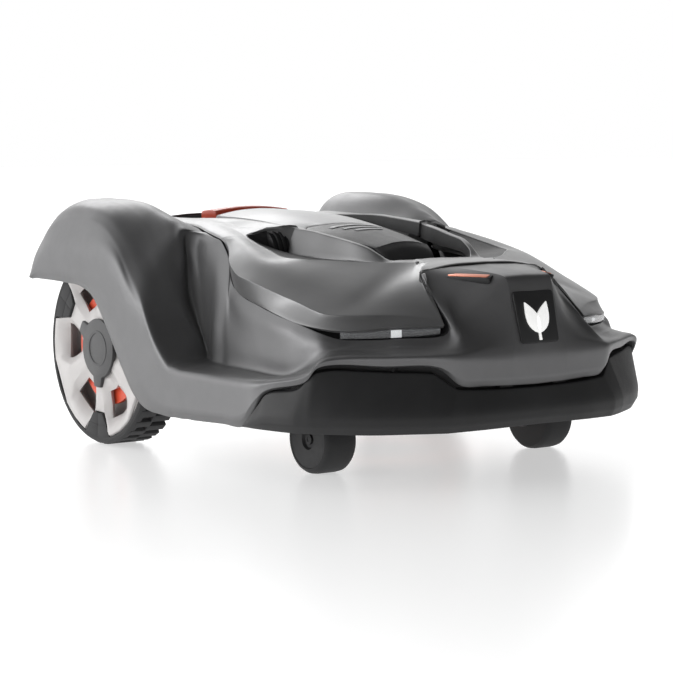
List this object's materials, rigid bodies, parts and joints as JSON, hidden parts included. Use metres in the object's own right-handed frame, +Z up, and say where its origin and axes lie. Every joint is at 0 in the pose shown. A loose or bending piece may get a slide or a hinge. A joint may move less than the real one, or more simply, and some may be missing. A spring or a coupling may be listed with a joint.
{
  "type": "robotic lawn mower",
  "caption": "Robotic lawn mower: floating body shell and bumper over a sealed chassis, driven rear wheels, swivelling front castors, height-adjusted cutting disc, opening hatch and stop button.",
  "frame": {"origin": "on the ground below the middle of the machine, the bottom centre of its box", "axes": "+Z up, the nose points along -Y, +X to the mower's left side"},
  "size_m": [0.56, 0.72, 0.31],
  "materials": {
    "shell_plastic": "satin grey moulded plastic with a fine grain",
    "hood_plastic": "satin metallic grey moulded plastic",
    "black_plastic": "fine-grained black moulded plastic",
    "dark_plastic": "fine-grained dark grey moulded plastic",
    "hatch_light": "light grey satin lid",
    "emblem_white": "smooth white",
    "lens_clear": "clear moulded lens",
    "copper_contact": "copper-coloured contact strip",
    "orange_plastic": "orange-red moulded plastic",
    "rim_silver": "light silver moulded rim",
    "tyre_rubber": "matt black rubber with tread blocks",
    "castor_rubber": "matt black",
    "seal_rubber": "soft black rubber",
    "steel": "bright steel",
    "disc_metal": "painted cutting disc",
    "battery_wrap": "shrink-wrapped battery pack",
    "board_green": "green circuit board",
    "screen": "dark display module",
    "screen_glass": "clear display window",
    "key_silver": "silver keys",
    "switch_red": "red switch knob"
  },
  "bodies": {
    "chassis": {"chassis_lower": "dark_plastic", "chassis_upper": "black_plastic", "chassis_seal": "seal_rubber", "battery_pack": "battery_wrap", "battery_cover": "black_plastic", "main_board": "board_green", "wheel_motor_left": "steel", "wheel_motor_right": "steel", "display_panel": "screen", "display_lens": "screen_glass", "keypad_frame": "dark_plastic", "rear_handle": "black_plastic", "chassis_screws": "steel", "loop_sensors": "copper_contact", "guide_rods": "steel", "height_motor": "dark_plastic", "slider_rails": "steel", "cutting_bellows": "seal_rubber"},
    "fore_slider": {"bump_carriage": "black_plastic"},
    "side_slider": {"side_carriage": "black_plastic"},
    "shell": {"body_shell": "shell_plastic", "hood_cover": "hood_plastic", "front_bumper": "black_plastic", "rear_panel": "dark_plastic", "badge_plate": "dark_plastic", "badge_emblem": "emblem_white", "headlight_lenses": "lens_clear", "headlight_housings": "black_plastic", "charging_plates": "copper_contact", "charging_holders": "black_plastic", "intake_inserts": "black_plastic", "shell_frame": "black_plastic", "bumper_brackets": "black_plastic"},
    "hatch": {"hatch_cover": "hatch_light", "hatch_front": "dark_plastic", "hatch_liner": "black_plastic"},
    "stop_button": {"stop_button": "orange_plastic"},
    "main_switch": {"main_switch": "switch_red"},
    "drive_wheel_left": {"tyre_left": "tyre_rubber", "rim_left": "rim_silver", "hub_disc_left": "orange_plastic", "wheel_cap_left": "dark_plastic"},
    "drive_wheel_right": {"tyre_right": "tyre_rubber", "rim_right": "rim_silver", "hub_disc_right": "orange_plastic", "wheel_cap_right": "dark_plastic"},
    "castor_left": {"castor_fork_left": "dark_plastic"},
    "castor_right": {"castor_fork_right": "dark_plastic"},
    "castor_wheel_left": {"castor_wheel_left": "castor_rubber"},
    "castor_wheel_right": {"castor_wheel_right": "castor_rubber"},
    "cutting_unit": {"cutting_carriage": "dark_plastic", "cutting_motor": "steel"},
    "height_spindle": {"height_spindle": "steel"},
    "cutting_disc": {"cutting_disc": "disc_metal"},
    "blade_1": {"blade_1": "steel"},
    "blade_2": {"blade_2": "steel"},
    "blade_3": {"blade_3": "steel"},
    "skid_plate": {"skid_plate": "black_plastic"},
    "key_start": {"key_start": "key_silver"},
    "key_park": {"key_park": "key_silver"}
  },
  "joints": [
    {"name": "shell_bump", "type": "slide", "parent": "chassis", "child": "fore_slider", "axis": [0, 1, 0], "range_m": [-0.008, 0.008], "stiffness_N_per_m": 3000},
    {"name": "shell_side_bump", "type": "slide", "parent": "fore_slider", "child": "side_slider", "axis": [1, 0, 0], "range_m": [-0.005, 0.005], "stiffness_N_per_m": 3000},
    {"name": "shell_lift", "type": "slide", "parent": "side_slider", "child": "shell", "axis": [0, 0, 1], "range_m": [0, 0.01]},
    {"name": "hatch_hinge", "type": "hinge", "parent": "chassis", "child": "hatch", "pos_m": [0, -0.105, 0.236], "axis": [1, 0, 0], "range_deg": [0, 70]},
    {"name": "stop_press", "type": "slide", "parent": "chassis", "child": "stop_button", "axis": [0, 0, -1], "range_m": [0, 0.005], "stiffness_N_per_m": 1500},
    {"name": "main_switch_turn", "type": "hinge", "parent": "chassis", "child": "main_switch", "pos_m": [0, -0.062, 0.251], "axis": [0, 0, 1], "range_deg": [0, 90]},
    {"name": "drive_left", "type": "hinge", "parent": "chassis", "child": "drive_wheel_left", "pos_m": [0.24, 0.186, 0.1225], "axis": [1, 0, 0], "continuous": true},
    {"name": "drive_right", "type": "hinge", "parent": "chassis", "child": "drive_wheel_right", "pos_m": [-0.24, 0.186, 0.1225], "axis": [1, 0, 0], "continuous": true},
    {"name": "castor_swivel_left", "type": "hinge", "parent": "chassis", "child": "castor_left", "pos_m": [0.165, -0.195, 0.12], "axis": [0, 0, 1], "continuous": true},
    {"name": "castor_swivel_right", "type": "hinge", "parent": "chassis", "child": "castor_right", "pos_m": [-0.165, -0.195, 0.12], "axis": [0, 0, 1], "continuous": true},
    {"name": "castor_roll_left", "type": "hinge", "parent": "castor_left", "child": "castor_wheel_left", "pos_m": [0.165, -0.166, 0.041], "axis": [1, 0, 0], "continuous": true},
    {"name": "castor_roll_right", "type": "hinge", "parent": "castor_right", "child": "castor_wheel_right", "pos_m": [-0.165, -0.166, 0.041], "axis": [1, 0, 0], "continuous": true},
    {"name": "cutting_height", "type": "slide", "parent": "chassis", "child": "cutting_unit", "axis": [0, 0, 1], "range_m": [-0.04, 0], "deforming": ["cutting_bellows"]},
    {"name": "height_spindle_turn", "type": "hinge", "parent": "chassis", "child": "height_spindle", "pos_m": [0, 0.02, 0.15], "axis": [0, 0, 1], "range_deg": [-3600, 0]},
    {"name": "disc_spin", "type": "hinge", "parent": "cutting_unit", "child": "cutting_disc", "pos_m": [0, -0.058, 0.06], "axis": [0, 0, 1], "continuous": true},
    {"name": "blade_1_swing", "type": "hinge", "parent": "cutting_disc", "child": "blade_1", "pos_m": [0, 0.032, 0.0588], "axis": [0, 0, 1], "continuous": true},
    {"name": "blade_2_swing", "type": "hinge", "parent": "cutting_disc", "child": "blade_2", "pos_m": [-0.07794, -0.103, 0.0588], "axis": [0, 0, 1], "continuous": true},
    {"name": "blade_3_swing", "type": "hinge", "parent": "cutting_disc", "child": "blade_3", "pos_m": [0.07794, -0.103, 0.0588], "axis": [0, 0, 1], "continuous": true},
    {"name": "skid_plate_spin", "type": "hinge", "parent": "cutting_unit", "child": "skid_plate", "pos_m": [0, -0.058, 0.05], "axis": [0, 0, 1], "continuous": true},
    {"name": "key_start_press", "type": "slide", "parent": "chassis", "child": "key_start", "axis": [0, 0, -1], "range_m": [0, 0.0009], "stiffness_N_per_m": 800},
    {"name": "key_park_press", "type": "slide", "parent": "chassis", "child": "key_park", "axis": [0, 0, -1], "range_m": [0, 0.0009], "stiffness_N_per_m": 800}
  ],
  "couplings": [
    {"joint": "height_spindle_turn", "follows": "cutting_height", "rad_per_m": 1570.8}
  ]
}
